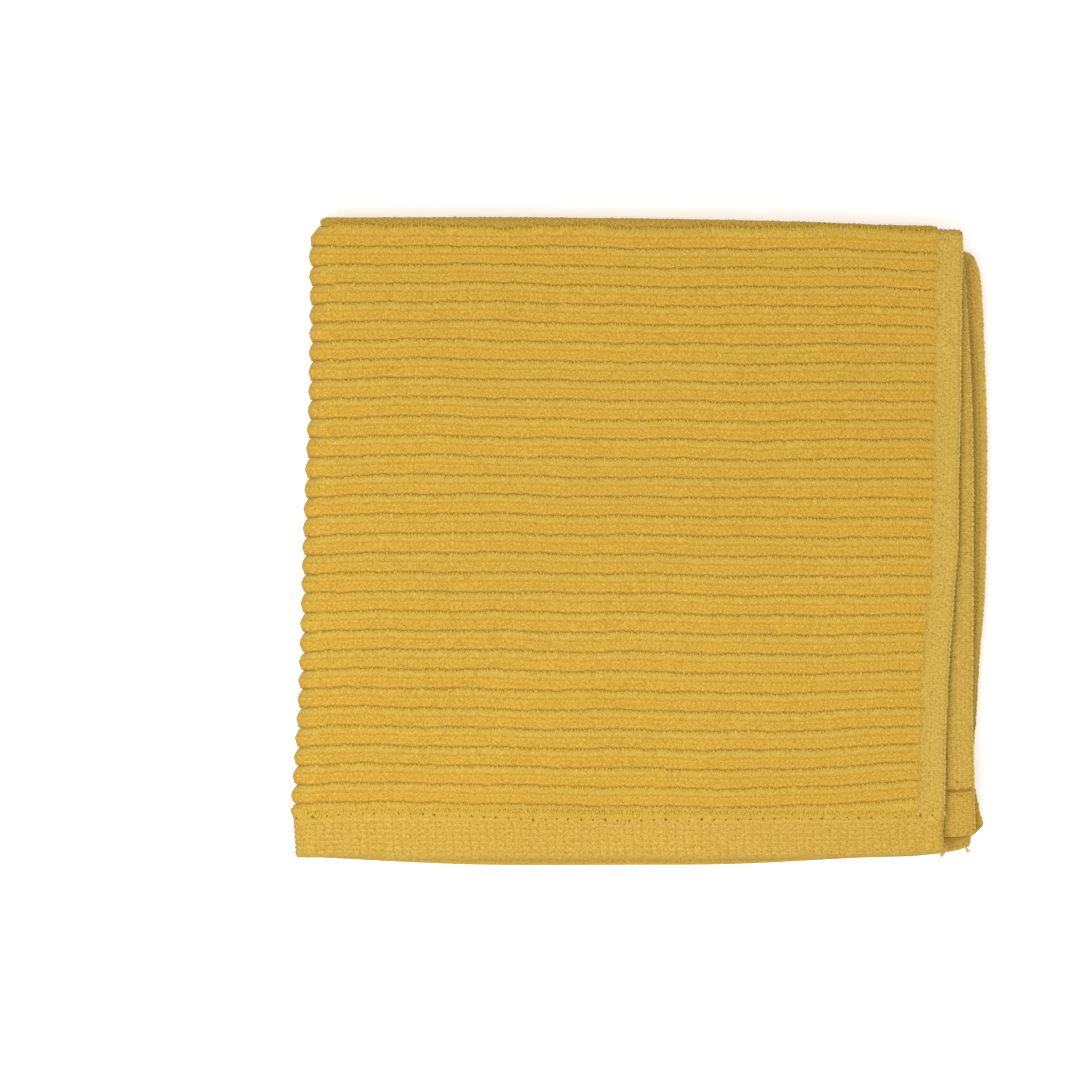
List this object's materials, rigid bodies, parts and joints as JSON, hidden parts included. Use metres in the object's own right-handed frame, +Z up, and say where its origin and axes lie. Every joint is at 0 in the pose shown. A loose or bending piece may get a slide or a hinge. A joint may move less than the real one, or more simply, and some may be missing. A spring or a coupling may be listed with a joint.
{
  "type": "folded ribbed dishcloth",
  "caption": "Ribbed cotton dishcloth folded twice into a quarter, lying flat, with hemmed ends and flat woven side bands.",
  "frame": {"origin": "middle of the folded cloth's footprint, on the surface it lies on", "axes": "+X right, away from the second fold and towards the open side edges; +Y away from the hems, towards the first fold; +Z up"},
  "size_m": [0.174, 0.1617, 0.013],
  "materials": {
    "yellow_cotton": "matt ribbed cotton terry, dry and soft"
  },
  "bodies": {
    "root": {"cloth": "yellow_cotton"}
  },
  "joints": []
}
